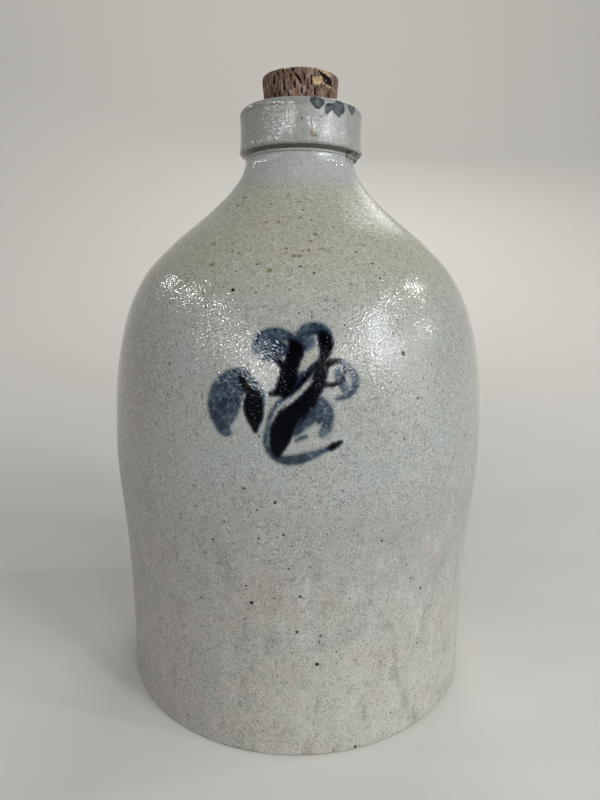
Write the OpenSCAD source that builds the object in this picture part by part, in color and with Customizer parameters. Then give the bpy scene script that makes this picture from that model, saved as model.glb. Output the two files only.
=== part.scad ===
// Stoneware jug of about two gallons. The body, neck and collar are thrown in one piece of clay,
// a pulled strap handle is luted on behind, and a tapered cork closes the mouth.
// Millimetres, +Z up. The origin is the centre of the base, and the decorated front faces -Y.

/* [Thrown body] */
// Radius of the wall where it meets the table
foot_r = 108.3; // [95:0.1:120]
// Inward lean of the wall just above the foot, in degrees
foot_lean = 1; // [0:0.1:3]
// Rounding of the edge under the foot
foot_round = 1.5; // [0.5:0.1:4]
// Radius of the belly, the widest place
belly_r = 113.2; // [105:0.1:130]
// Height of the belly above the table
belly_h = 146; // [120:1:180]
// Radius where the shoulder turns from round to hollow
turn_r = 75; // [66:0.5:84]
// Rise from the belly to that turn
turn_rise = 119; // [100:1:140]
// Slope of the wall at the turn, in degrees above level
turn_slope = 46; // [38:1:54]
// Radius of the neck under the collar
neck_r = 32.2; // [29:0.1:38]
// Rise from the turn to the top of the neck
neck_rise = 48.5; // [42:0.5:60]
// Thickness of the thrown wall
wall_t = 7; // [5:0.5:9]
// Thickness of the floor
floor_t = 10; // [7:0.5:15]
// Radius inside, where the floor meets the wall
floor_fillet = 12; // [8:1:20]

/* [Collar and mouth] */
// Radius of the bead tooled under the collar
bead_r = 0.5; // [0.3:0.1:1]
// Height of the collar above the bead
collar_h = 26; // [22:0.5:34]
// Largest radius of the collar
collar_r = 36; // [34:0.1:44]
// How much the collar's side is drawn in at half its height
collar_waist = 0.4; // [0:0.1:1]
// Height of the bevel under the collar
collar_bevel_h = 1.9; // [1:0.1:4]
// Rounding of the collar's lower edge
collar_edge_r = 1.4; // [0.6:0.1:2.5]
// Rounding of the rim
rim_r = 3; // [1.5:0.1:5]
// Fall of the rim from its crest to the mouth
rim_fall = 0.8; // [0:0.1:2]
// Rounding of the mouth's edge
lip_r = 1.2; // [0.5:0.1:2.5]
// Depth of the tapered seat below the rim
seat_h = 28; // [20:0.5:36]

/* [Strap handle] */
// Width of the strap at its middle
strap_w = 28; // [22:0.5:36]
// Thickness of the strap at its middle
strap_t = 10.5; // [8:0.5:13]
// Drop from the top of the neck to the strap's upper root
strap_drop = 8.5; // [8:0.5:14]
// Fall from the upper root to the strap's lower end
strap_fall = 67; // [55:1:78]
// How far the strap is drawn straight out from the neck
strap_pull = 43; // [34:0.5:52]
// How far it rises as it is drawn out
strap_lift = 17; // [10:0.5:22]
// How far it bows out above its lower end
strap_bow = 6; // [2:0.5:12]
// How straight it drops to its lower end
strap_set = 52; // [40:0.5:62]
// Extra width where the strap is luted to the neck
root_spread = 9; // [4:0.5:14]
// Extra thickness there
root_swell = 2.5; // [1:0.1:3]
// Extra width where it is luted to the shoulder
end_spread = 6; // [3:0.5:12]
// How much thinner it is wiped there
end_thin = 4; // [1:0.5:5]
// Depth of the two finger grooves drawn along its outer face
groove_d = 1.6; // [0.6:0.1:2.5]

/* [Cork stopper] */
// Radius of the cork's top
cork_top_r = 22.4; // [18:0.1:26]
// Radius of the cork's tip
cork_tip_r = 18.5; // [15:0.1:18.9]
// Length of the cork
cork_len = 38; // [30:0.5:48]
// Height of the cork that stands above the rim
cork_stand = 18.5; // [12:0.5:24]
// Rounding of the cork's top edge
cork_top_round = 1; // [0.4:0.1:3]
// Rounding of the cork's tip
cork_tip_round = 0.8; // [0.4:0.1:3]
// Gap all round between the cork and its seat
cork_gap = 0.25; // [0.15:0.05:0.5]

/* [Hidden] */

$fn = 144;
glaze_colour = [0.62, 0.62, 0.58];
strap_colour = [0.58, 0.58, 0.53];
cork_colour = [0.46, 0.34, 0.26];

// Pulls of each curve's ends, as shares of its rise
wall_pull_shares = [0.69, 0.215];
shoulder_pull_shares = [0.79, 0.13];
neck_pull_shares = [0.2, 0.36];
throat_pull_shares = [0.3, 0.4];
// Steps along each thrown curve, round each small arc and up the collar
curve_steps = 14;
arc_steps = 6;
collar_steps = 8;
// Where the rounding of the collar's lower edge starts and ends, in degrees
collar_edge_from = -60;
collar_edge_to = -15;

turn_z = belly_h + turn_rise;
neck_top_z = turn_z + neck_rise;
collar_z = neck_top_z + 2 * bead_r;
rim_z = collar_z + collar_h;
throat_z = rim_z - seat_h;

// The seat follows the cork's taper, one gap outside it
cork_top_z = rim_z + cork_stand;
cork_tip_z = cork_top_z - cork_len;
cork_taper = (cork_top_r - cork_tip_r) / cork_len;
function cork_radius(z) = cork_top_r - cork_taper * (cork_top_z - z);
function seat_radius(z) = cork_radius(z) + cork_gap;

// Strap section and path
strap_sides = 40;
strap_rings = 36;
strap_square_share = 0.62;
groove_place_share = 0.34;
groove_width_share = 0.15;
root_reach_share = 0.3;
end_reach_share = 0.3;
smooth_reach_share = 0.16;
// How deep the sweep runs into the wall before the wall's own face trims it
strap_key = 4;

function bezier(p, t) =
    pow(1 - t, 3) * p[0] + 3 * pow(1 - t, 2) * t * p[1] + 3 * (1 - t) * t * t * p[2] + pow(t, 3) * p[3];
function bezier_way(p, t) =
    pow(1 - t, 2) * (p[1] - p[0]) + 2 * (1 - t) * t * (p[2] - p[1]) + t * t * (p[3] - p[2]);
function unit(v) = v / norm(v);
function right_of(v) = [v[1], -v[0]];

// A curve as a row of points, and the same curve moved to the left of its run
function curve(p, steps) = [for (i = [0:steps]) bezier(p, i / steps)];
function inset_curve(p, depth, steps) =
    [for (i = [0:steps]) bezier(p, i / steps) - depth * right_of(unit(bezier_way(p, i / steps)))];
function arc(centre, r, from, to) =
    [for (i = [0:arc_steps]) let (a = from + (to - from) * i / arc_steps) centre + r * [cos(a), sin(a)]];
function reversed(list) = [for (i = [len(list) - 1:-1:0]) list[i]];
function tail(list) = [for (i = [1:len(list) - 1]) list[i]];

// The outline in the half plane [radius, height], upwards from the foot
turn_way = [-cos(turn_slope), sin(turn_slope)];
lean_way = [-tan(foot_lean), 1];
up = [0, 1];
foot_point = [foot_r, 0];
belly_point = [belly_r, belly_h];
turn_point = [turn_r, turn_z];
neck_point = [neck_r, neck_top_z];
wall_curve = [
    foot_point,
    foot_point + wall_pull_shares[0] * belly_h * lean_way,
    belly_point - wall_pull_shares[1] * belly_h * up,
    belly_point
];
shoulder_curve = [
    belly_point,
    belly_point + shoulder_pull_shares[0] * turn_rise * up,
    turn_point - shoulder_pull_shares[1] * turn_rise * turn_way,
    turn_point
];
neck_curve = [
    turn_point,
    turn_point + neck_pull_shares[0] * neck_rise * turn_way,
    neck_point - neck_pull_shares[1] * neck_rise * up,
    neck_point
];
thrown_side = concat(
    tail(curve(wall_curve, curve_steps)),
    tail(curve(shoulder_curve, curve_steps)),
    tail(curve(neck_curve, curve_steps))
);

// The collar's side runs from its rounded lower edge to the rounded rim
collar_low_z = collar_z + collar_bevel_h + collar_edge_r;
collar_high_z = rim_z - rim_r;
collar_side = [
    for (i = [0:collar_steps]) let (s = i / collar_steps)
        [collar_r - collar_waist * sin(180 * s), collar_low_z + (collar_high_z - collar_low_z) * s]
];
collar_outline = concat(
    tail(arc([neck_r, neck_top_z + bead_r], bead_r, -90, 90)),
    arc([collar_r - collar_edge_r, collar_low_z], collar_edge_r, collar_edge_from, collar_edge_to),
    collar_side,
    tail(arc([collar_r - rim_r, collar_high_z], rim_r, 0, 90))
);
outline = concat(
    arc([foot_r - foot_round, foot_round], foot_round, -90, 0),
    [for (p = thrown_side) if (p[1] > 2 * foot_round) p],
    collar_outline
);

// The mouth and the hollow, downwards from the rim
mouth_edge_z = rim_z - rim_fall;
mouth_edge_r = seat_radius(mouth_edge_z - lip_r);
throat_point = [seat_radius(throat_z), throat_z];
inner_turn = turn_point - wall_t * right_of(turn_way);
throat_rise = throat_z - inner_turn[1];
throat_curve = [
    inner_turn,
    inner_turn + throat_pull_shares[0] * throat_rise * turn_way,
    throat_point - throat_pull_shares[1] * throat_rise * up,
    throat_point
];
inner_side = concat(
    inset_curve(wall_curve, wall_t, curve_steps),
    tail(inset_curve(shoulder_curve, wall_t, curve_steps)),
    tail(curve(throat_curve, curve_steps))
);
inner_foot_z = floor_t + floor_fillet;
inner_foot_r = lookup(inner_foot_z, [for (p = inner_side) [p[1], p[0]]]);
hollow_outline = concat(
    arc([mouth_edge_r + lip_r, mouth_edge_z - lip_r], lip_r, 90, 180),
    reversed([for (p = inner_side) if (p[1] > inner_foot_z) p]),
    arc([inner_foot_r - floor_fillet, inner_foot_z], floor_fillet, 0, -90)
);

// Radius of the jug's outside at a height on its shoulder or neck
function outside_radius(z) = lookup(z, [for (p = thrown_side) [p[1], p[0]]]);

// Centre line of the strap, in the plane [distance behind the axis, height]
strap_root_z = neck_top_z - strap_drop;
strap_end_z = strap_root_z - strap_fall;
strap_root = [outside_radius(strap_root_z) - strap_key, strap_root_z];
strap_end = [outside_radius(strap_end_z) - strap_key, strap_end_z - strap_key];
strap_curve = [
    strap_root,
    strap_root + [strap_pull, strap_lift],
    strap_end + [strap_bow, strap_set],
    strap_end
];
function near(t, reach) = pow(max(0, 1 - t / reach), 2);
function strap_near_root(t) = near(t, root_reach_share);
function strap_near_end(t) = near(1 - t, end_reach_share);
function strap_width(t) = strap_w + root_spread * strap_near_root(t) + end_spread * strap_near_end(t);
function strap_depth(t) = strap_t + root_swell * strap_near_root(t) - end_thin * strap_near_end(t);
function squared(v) = sign(v) * pow(abs(v), strap_square_share);
// The grooves are wiped out towards both ends
function groove_depth(t) = groove_d * min(1, t / smooth_reach_share) * min(1, (1 - t) / smooth_reach_share);
function groove(x, w) = exp(-pow((abs(x) - groove_place_share * w / 2) / (groove_width_share * w / 2), 2));
// One section: [across, outwards], with the grooves on the outer face
function strap_section(t) = let (w = strap_width(t), d = strap_depth(t)) [
    for (i = [0:strap_sides - 1])
        let (a = 360 * i / strap_sides, x = w / 2 * squared(cos(a)), n = d / 2 * squared(sin(a)))
            [x, n > 0 ? n - groove_depth(t) * groove(x, w) * sin(a) : n]
];
function strap_ring(t) = let (c = bezier(strap_curve, t), out = -right_of(unit(bezier_way(strap_curve, t)))) [
    for (p = strap_section(t)) [p[0], c[0] + p[1] * out[0], c[1] + p[1] * out[1]]
];

module jug_body() {
    color(glaze_colour)
        rotate_extrude()
            polygon(concat([[0, 0]], outline, hollow_outline, [[0, floor_t]]));
}

// The jug as if it were solid clay, which trims whatever is luted on
module jug_mass() {
    rotate_extrude()
        polygon(concat([[0, 0]], outline, [[0, rim_z]]));
}

module strap_sweep() {
    rings = [for (k = [0:strap_rings]) strap_ring(k / strap_rings)];
    first_centre = [0, strap_root[0], strap_root[1]];
    last_centre = [0, strap_end[0], strap_end[1]];
    points = concat([for (ring = rings) each ring], [first_centre, last_centre]);
    first_index = len(points) - 2;
    last_index = len(points) - 1;
    last_ring = strap_rings * strap_sides;
    sides = [
        for (k = [0:strap_rings - 1], i = [0:strap_sides - 1])
            let (j = (i + 1) % strap_sides, low = k * strap_sides, high = low + strap_sides)
                each [[low + i, high + i, high + j], [low + i, high + j, low + j]]
    ];
    caps = [
        for (i = [0:strap_sides - 1])
            let (j = (i + 1) % strap_sides)
                each [[first_index, i, j], [last_index, last_ring + j, last_ring + i]]
    ];
    polyhedron(points, concat(sides, caps));
}

module strap_handle() {
    color(strap_colour)
        difference() {
            strap_sweep();
            jug_mass();
        }
}

module cork_stopper() {
    top_arc_r = cork_radius(cork_top_z - cork_top_round);
    tip_arc_r = cork_radius(cork_tip_z + cork_tip_round);
    color(cork_colour)
        rotate_extrude()
            polygon(concat(
                [[0, cork_tip_z]],
                arc([tip_arc_r - cork_tip_round, cork_tip_z + cork_tip_round], cork_tip_round, -90, 0),
                arc([top_arc_r - cork_top_round, cork_top_z - cork_top_round], cork_top_round, 0, 90),
                [[0, cork_top_z]]
            ));
}

jug_body();
strap_handle();
cork_stopper();
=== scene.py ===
import math

import bpy
import numpy as np
from mathutils import Matrix, Vector, noise


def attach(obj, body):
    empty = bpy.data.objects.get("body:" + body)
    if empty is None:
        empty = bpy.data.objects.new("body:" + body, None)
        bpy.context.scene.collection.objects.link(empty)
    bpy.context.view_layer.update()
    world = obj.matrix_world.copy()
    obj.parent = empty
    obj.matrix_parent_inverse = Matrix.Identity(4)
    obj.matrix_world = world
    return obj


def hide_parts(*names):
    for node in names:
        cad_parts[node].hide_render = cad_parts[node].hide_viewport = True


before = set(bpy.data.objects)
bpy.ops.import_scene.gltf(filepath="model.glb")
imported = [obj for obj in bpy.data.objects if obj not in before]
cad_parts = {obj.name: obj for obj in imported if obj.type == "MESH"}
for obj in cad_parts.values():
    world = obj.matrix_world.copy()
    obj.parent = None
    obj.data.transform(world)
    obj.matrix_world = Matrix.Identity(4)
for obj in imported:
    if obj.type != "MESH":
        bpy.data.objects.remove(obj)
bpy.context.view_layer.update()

MM = 0.001
TINY = 1e-6

# The photograph's camera: its place in metres, its turns in degrees, and its lens
CAMERA_PLACE = (0.0, -0.366, 0.24)
CAMERA_PITCH = -11.115
CAMERA_YAW = 0.188
CAMERA_ROLL = 0.439
SENSOR = 36.0
PHOTO_HEIGHT_PIXELS = 800
FOCAL_PIXELS = 574.12

# Light, in metres and watts
WORLD_STRENGTH = 0.12
WORLD_COLOUR = (233, 236, 240)
PALE_COLOUR = (222, 218, 211)
BOUNCE_COLOUR = (118, 114, 108)
CEILING_HEIGHT = 1.65
CEILING_TARGET = (0, 0, 0.2)
CEILING_COLOUR = (0.96, 0.985, 1.0)
# Rows of ceiling lights: the watts and the size of one light, and the x and y of each
CEILING_ROWS = {
    "left": (3.4, 0.11, [(-2.26, 0.91), (-2.05, -0.1), (-1.9, -1.15), (-2.0, -2.1)]),
    "left_middle": (6.5, 0.15, [(-2.15, -3.0), (-1.9, -4.0), (-1.6, -5.0)]),
    "left_end": (15.0, 0.24, [(-2.1, -5.8), (-2.1, -7.4), (-2.9, -6.6)]),
    "right": (5.2, 0.12, [(2.06, 0.33), (1.95, -0.7), (2.0, -1.8), (2.1, -2.9)]),
    "right_end": (10.0, 0.18, [(2.1, -4.0), (2.1, -5.1), (1.5, -6.2), (2.1, -7.4)]),
    "far_left": (5.0, 0.15, [(-3.9, -2.0), (-3.6, -3.1), (-3.2, -4.3), (-3.4, -5.8)]),
    "far_right": (9.0, 0.17, [(4.4, -0.2), (4.5, -2.2), (4.5, -4.2), (3.6, -6.6), (3.0, -5.4), (3.4, -3.6)]),
}
# Other lamps: place, what it faces, width, height, watts and colour
OTHER_LAMPS = {
    "window": ((1.47, -1.2, 1.0), (0, 0, 0.2), 0.5, 0.9, 11.0, (0.88, 0.95, 1.0)),
    "side_fill": ((2.2, -0.9, 0.6), (0, 0, 0.15), 1.2, 1.2, 8.0, (0.97, 0.99, 1.0)),
    "back_fill": ((0.5, 2.1, 2.1), (0, 0, 0.2), 1.4, 1.4, 17.0, (1.0, 0.99, 0.97)),
    "wall_wash": ((0, 0.6, 3.0), (0, 3.7, 2.6), 1.6, 1.6, 38.0, (1.0, 0.99, 0.97)),
    "front_wall_wash": ((0, -6.0, 3.2), (0, -10.3, 2.6), 1.6, 1.6, 24.0, (1.0, 0.99, 0.97)),
}

# How far the rows and columns of the jug's mesh lie apart, in mm and degrees, up to each height or azimuth
OUTER_ROW_STEPS = [(2.5, 0.5), (158, 4.0), (227, 0.8), (308, 3.2), (320, 0.3), (328, 1.2), (345, 0.4)]
INNER_ROW_STEPS = [(30, 6.0), (300, 9.0), (338, 2.0), (345, 0.6)]
COLUMN_STEPS = [(-22, 2.3), (15, 0.4), (78, 0.65), (180, 2.3)]
# The flat base has coarser rows, up to this height and out to this share of the jug's radius
BASE_ROW_STEP = 8.0
BASE_TOP = 1.0
BASE_SHARE = 0.86
# Step of the fine line that the rows are taken from
FINE_STEP = 0.1

# Softening of every edge by the glaze, and how far the thrown wall strays from a true circle
GLAZE_SOFTNESS = 0.22
WANDER_DEPTH = 0.16
WANDER_SIZE = 60.0
WANDER_FROM = 4.0
WANDER_FADE = 20.0
RING_DEPTH = 0.035
RING_PITCH = 9.0
RING_STRETCH = (0.02, 0.02, 1)
COLLAR_FOOT = 314.5
COLLAR_SIDE = 326.0
COLLAR_RADIUS = 36.0
RIM = 340.5
# The collar sits a little to the right: by how much, from which radius, and over what width it starts
COLLAR_SHIFT = 0.4
COLLAR_SHIFT_FROM = 33.0
COLLAR_SHIFT_FADE = 2.0
# How far the collar's lower edge is drawn out, at which height, and over what height
COLLAR_FLARE = (0.3, 317.2, 2.4)
# Depth of a place that lies in no stroke, the depths that are kept, and how far in the brown slip is kept
FAR_OUTSIDE = -1e3
KEPT_DEPTH = 5.0
SLIP_FAR = 50.0

# The part of the front that the flower is on, in degrees to each side and in mm up
FLOWER_SPAN = 60
FLOWER_HEIGHTS = (150, 232)
# Brush strokes of the flower: across from the middle of the front, height, half the brush's width
WASHES = [
    # Left petal
    [(-24, 201, 2.2), (-29, 199.5, 4.2), (-34, 195.5, 5.4), (-37.5, 190.5, 5.4), (-38.5, 184.5, 5),
     (-37, 179, 4.2), (-34.5, 174.5, 3), (-32.5, 173.5, 1.8)],
    [(-28.5, 196, 4.2), (-30, 191, 4.6), (-31.5, 185, 4.4), (-33.5, 179.5, 3.4), (-34.5, 176, 2)],
    [(-22, 199, 1.8), (-19.5, 196, 2), (-17, 192, 1.6), (-15.8, 188, 0.8)],
    # Upper left petal
    [(-19, 212, 2.4), (-18, 215.5, 3), (-15.5, 217.5, 3.6), (-11.5, 219, 3.2), (-8, 219, 3), (-4.5, 218, 2.4),
     (-1.5, 216, 2)],
    [(-14.5, 213.5, 4.2), (-10, 214, 3.6), (-6.5, 211.5, 2.8)],
    [(-16, 208.5, 2), (-13, 209, 2.4), (-9, 208, 2)],
    # Upper right petal
    [(-0.5, 217.5, 2), (2, 219.8, 3), (5.5, 221.5, 3.2), (9.5, 221.2, 3.2), (12.5, 219, 2.8), (14, 216, 1.8)],
    [(2, 218, 3.6), (4.5, 215.5, 3.2), (3, 213, 1.6)],
    # Stem down to the bottom stroke
    [(8.5, 206, 1.4), (3.5, 202, 2.2), (0, 198, 2.2), (-4, 193.5, 1.6), (-8, 189.5, 1.4), (-12, 184, 1.3),
     (-14, 177.5, 1.3), (-15, 171, 1.4), (-13, 165.5, 1.6), (-9.5, 162.5, 1.8)],
    # Right loop
    [(17, 207.5, 0.9), (22, 205.5, 1.7), (25, 202, 2.2), (26.5, 198, 2.2), (25, 193.5, 2), (21.5, 191, 1.7),
     (18, 190.5, 1.3)],
    [(18, 202.5, 2.2), (19.5, 198.5, 2.6), (21.5, 195, 2.2)],
    # Lower right petal
    [(10.5, 190, 1.6), (13, 186, 2.9), (13.8, 182, 3.1), (13.2, 177.5, 2.9), (11, 174, 1.8)],
    [(7, 188.8, 2.8), (7, 185.5, 4.2), (5, 182.5, 4.2), (1.5, 178.8, 3.6), (-1.5, 175.5, 2.6)],
    [(10.5, 187, 3), (10, 183, 3.2), (9.6, 180, 1.6)],
    [(3.5, 173.2, 1.2), (-0.5, 171.6, 1.2)],
    # Bottom stroke
    [(-12, 165, 1.2), (-8.5, 162.5, 2), (-4, 162, 2.7), (0.5, 162.5, 2.7), (5, 164, 2.4), (9.5, 165.5, 1.9),
     (13.5, 167.3, 1.3)],
]
DARKS = [
    # Left petal: the streak along its top, and the drop below it
    [(-27.5, 200, 0.6), (-25.5, 197.5, 1.6), (-23.5, 194, 1.9), (-21, 191.5, 1.9)],
    [(-20.5, 192, 2), (-20.5, 189.5, 3.9), (-20.5, 185.5, 4.6), (-20, 182, 3.7), (-19.8, 178.5, 2),
     (-19.5, 175, 0.6)],
    # From the upper left petal down
    [(-3.5, 216, 1.2), (-1.2, 212.5, 3.4), (-2.5, 208, 3.4), (-4, 203.5, 3.6), (-4.6, 199, 4.2),
     (-6, 195, 3.8), (-6, 192.8, 2.2)],
    [(-7.5, 194.5, 2.6), (-10, 193, 1.5), (-13, 192, 0.4)],
    [(-10.5, 209, 0.5), (-8.5, 206.5, 1.1), (-6, 204.5, 2)],
    # Down from the upper right petal into the stem
    [(10, 220, 0.8), (11.5, 217.8, 2.6), (12.5, 215, 3.2), (12.5, 212, 2.6), (11.4, 209, 1.7),
     (9.4, 206.5, 1.1), (5.5, 204, 0.5)],
    [(9.3, 206.4, 0.8), (5.7, 202.6, 1.1), (2.8, 199.3, 1.2), (-0.8, 195.3, 0.9), (-3.7, 191.6, 0.2)],
    # Long leaf
    [(12, 206, 1.3), (11, 204, 2.4), (10, 201, 3), (8.8, 197.5, 3.2), (6.8, 193.8, 3.6), (3.8, 190.2, 3.8),
     (0, 186.5, 4.1), (-3.5, 183, 4.6), (-6, 179, 5), (-7.5, 175.5, 5.2), (-8.5, 171.5, 4.5),
     (-9.5, 167.5, 3.1), (-9.2, 164.2, 1.2)],
    [(7, 190.5, 1.8), (7, 187.5, 1.2)],
    # The leaf's fingers, to the right
    [(10.5, 205, 1.7), (13.5, 206, 1.7), (16.5, 206.8, 1.2), (19.5, 207.5, 0.4)],
    [(10.8, 197.5, 1.4), (13.5, 196.6, 0.9), (16.8, 196.7, 0.7), (19.6, 198, 0.5), (21.2, 201.5, 0.4),
     (21, 204.5, 0.3)],
    # Thin dark places in the lower right petal
    [(5.5, 187.5, 0.8), (4, 184.5, 0.9), (2.2, 181.5, 0.5), (0.5, 178.5, 0.2)],
    # Tip of the bottom stroke
    [(15, 167.6, 1.1), (17, 168.6, 1.3), (20, 170.2, 0.5)],
]
# Gaps that stay bare between the strokes
BARES = [
    [(7.6, 211.6, 1.4), (5, 207.5, 1.7), (2.4, 204, 1)],
    [(6, 198.6, 1), (1.5, 194, 1.4), (-3, 189.6, 1.3), (-7.4, 185.6, 0.6)],
]
# Places where the wash was loaded with more cobalt, and where it was left thin
RICH_SPOTS = [
    (-33.5, 188, 2), (-39, 180.5, 1.8), (-37, 177, 1.6), (-28.5, 189, 1.4), (-36, 185, 2.4), (-10, 211, 2.2),
    (-7, 214.5, 2.2), (2.5, 182, 2.4), (6.5, 184, 2.4), (10, 180, 1.8), (0.5, 176, 2), (-0.5, 179, 2),
    (-4, 162, 2.4), (1.5, 162.5, 2.6), (-9.5, 163, 2.2), (8, 220.5, 2), (3, 201.5, 2.4), (-0.5, 198, 2),
]
THIN_SPOTS = [
    (-16.5, 214, 2.4), (-7, 208.5, 1.4), (5, 176, 2), (8, 174.5, 1.8), (8, 216, 1.8), (-18.5, 211, 2.4),
    (22.5, 196.5, 2.6), (20, 202.5, 2.2), (13, 173.5, 1.4), (-16.5, 189.5, 1.4), (-14, 178, 1.6),
]

# Flakes broken off the rim's outer edge: the corners of each, across and up along the collar's surface
CHIPS = [
    [(4.9, 340.6), (4.8, 336.8), (5.9, 335.9), (7.3, 334.5), (7.9, 333.6), (10.1, 333.7), (11.2, 335.1),
     (12.7, 336.2), (12.9, 337.5), (12.2, 338.6), (10.5, 339.9), (8, 341.2)],
    [(13.3, 336), (13, 334), (13.4, 332.3), (14.9, 331.6), (16.4, 333), (18, 334.2), (19, 333.1),
     (20.4, 331.8), (22.2, 330.8), (23.3, 331.5), (23.9, 332.6), (25.4, 333.4), (26.9, 335.4), (26, 336.7),
     (25.6, 338.9), (24.3, 340), (20.5, 340.2), (18.8, 337.4), (16.9, 337.2), (15.6, 337.4), (14.4, 336.9)],
    [(29.3, 339.6), (29.3, 337.2), (30.8, 336), (32.5, 334.3), (33.6, 334), (34.6, 335), (36, 337.4),
     (36.5, 339.4)],
    [(25, 339.7), (30, 339.4), (37, 339.7), (46, 339.2), (46, 338.6), (37, 338.9), (30, 338.8), (25, 338.9)],
]
CHIP_DEPTH = 0.9
CHIP_EDGE = 0.7
CHIP_RAGGEDNESS = 0.25
CHIP_GRAIN = 1.3
FACET_SHARE = 0.3
FACET_SIZE = 3.0
CHIP_ROUGHNESS = 0.6
CLAY_ROUGHNESS = 0.85
# Chips and clefts are looked for from this far under the collar's foot
WEAR_BELOW = 6.0
# Blobs of glaze that ran under the collar: azimuth, height, half width, half height, thickness
DRIPS = [(60.5, 313.6, 1.5, 3.4, 2.0), (74.0, 314.2, 3.2, 3.6, 2.6)]
DRIP_FULLNESS = 0.6
# The clefts beside them, as strokes
CLEFTS = [
    [(34.6, 315.4, 0.5), (35.0, 313.4, 1.0), (35.6, 311.4, 0.6)], [(40.6, 313.4, 0.4), (41.0, 310.8, 0.5)],
]
CLEFT_DEPTH = 0.8
CLEFT_EDGE = 0.4

# Lines round the collar: under it, dark lines that are partly pooled glaze and partly painted shade; on the
# rim, a painted dark reflection at its edge and a painted pale reflection on top. From which height to which,
# how strong, and their colour
COLLAR_LINES_SHADE_AND_SHEEN = [
    # Under the collar: dark lines, partly pooled glaze and partly painted shade
    (313.6, 314.2, 0.5, (90, 86, 74)), (315.2, 317.0, 0.85, (84, 80, 66)),
    # On the rim: a painted dark reflection at its edge, and a painted pale reflection on top
    (336.4, 340.2, 0.3, (106, 106, 98)), (340.7, 343.0, 0.4, (196, 186, 180)),
]
# The glaze's orange peel: how far its domes lie apart and how high they are, and the slower ripple
PEBBLE_SIZE = 0.95
PEBBLE_DEPTH = 0.17
RIPPLE_DEPTH = 0.08
# Strength of the glaze's reflection and what is left of it over the black, and its roughness
GLOSS = 0.5
BLACK_GLOSS = 0.08
GLAZE_ROUGHNESS = (0.05, 0.08)
LOW_WALL_ROUGHNESS = 0.24
# Layers of iron specks: size of their cells, share of the cells that have one, radius, and how dark
SPECK_LAYERS = [(2.4, 0.65, 0.4, 0.5), (5.0, 0.5, 0.5, 0.8), (12.0, 0.35, 0.7, 0.95)]
SPECK_RIPPLE = 0.9
SPECK_SHAKE = 0.5
SPECK_EDGE = 0.12

# Iron specks that stand out: the radius, then across and height
SPECKS = {
    0.5: [(-15, 282.5), (2, 279), (6, 273.5), (-18, 293), (-33.5, 257), (1.5, 257), (-6, 258),
          (-20, 250.5), (7, 246.5), (36.5, 251.5), (40, 244.5), (28, 257), (48.5, 225), (46, 219),
          (-66.5, 203), (44.5, 196.5), (-61.5, 126.5), (-35.5, 129.5), (-11, 90.5), (-4, 107), (-25, 96),
          (88, 57)],
    0.6: [(-30, 256), (60.5, 188), (101.5, 163.5), (-25.5, 147.5), (-18.5, 122.5), (-6.5, 125), (-42, 119),
          (42.5, 118.5), (11.5, 66), (12, 69.5), (62, 93), (70, 51.5), (-50.5, 84)],
    0.7: [(-10.5, 141.5)],
    0.8: [(-32.5, 287.5), (-36, 283), (70, 84.5)],
    0.9: [(-31.5, 238.5), (32, 2)],
    1.0: [(-22.5, 87), (10.5, 53.5)],
    1.1: [(51.5, 209.5)],
}
# Olive spots of melted ash, in the same way
OLIVE_SPOTS = {
    0.9: [(-10.5, 272), (-17, 272), (-6, 288), (0.5, 274.5), (-47, 110.5)],
    1.0: [(5.5, 262), (4.5, 257.5), (33.5, 286), (40, 271)],
    1.2: [(8, 265.5), (-2.5, 254.5), (0, 254.5), (-46, 261)],
    1.3: [(-14, 247.5)],
    1.4: [(-44, 250.5)],
    1.9: [(7.5, 321.5)],
}

# The strap handle in the plane behind the axis: distance from it and height, as the frame has them
STRAP_ROOT_HEIGHT = 305.0
STRAP_END_HEIGHT = 238.0
STRAP_KEY = 4.0
STRAP_ROOT_PULL = (43.0, 17.0)
STRAP_END_PULL = (6.0, 52.0)
STRAP_WIDTH = 28.0
STRAP_THICK = 10.5
STRAP_ROOT_SPREAD = 9.0
STRAP_ROOT_SWELL = 2.5
STRAP_END_SPREAD = 6.0
STRAP_END_THIN = 4.0
STRAP_SQUARE = 0.62
STRAP_SIDES = 112
STRAP_RINGS = 150
GROOVE_DEPTH = 1.6
GROOVE_PLACE = 0.34
GROOVE_WIDTH = 0.15
STRAP_WANDER = 0.14
STRAP_STREAK = 0.05
# Radius of the clay smoothed into the corner at each end: on the outer face, the sides and the inner face
ROOT_FILLETS = (1.8, 4.5, 5.0)
END_FILLETS = (1.5, 4.5, 4.0)
# Thumb marks where the ends were pressed on: share of the way along, across, half length, half width, depth
THUMB_MARKS = [(0.9, 0.0, 8.0, 7.0, 1.5), (0.955, -13.0, 6.0, 4.5, 1.1), (0.955, 13.0, 6.0, 4.5, 1.1),
               (0.06, -14.0, 4.0, 5.0, 0.9), (0.06, 14.0, 4.0, 5.0, 0.9)]

# The cork's rows and columns, in mm and how many, and its pits
CORK_ROW_STEPS = [(339.5, 1.3), (358.4, 0.38), (360, 0.6)]
CORK_COLUMNS = 400
CORK_ROUGHNESS = 0.3
CORK_DENTS = 0.25
CORK_SEED = 5
CORK_PITS = 170
# The front above the rim, which has its own marked pits: half its span in degrees, and its height in mm
CORK_MARKED_SPAN = 75.0
CORK_SHOWN = 19.0
CORK_TOP_PITS = 60
CORK_ARC = 22.0
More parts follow.
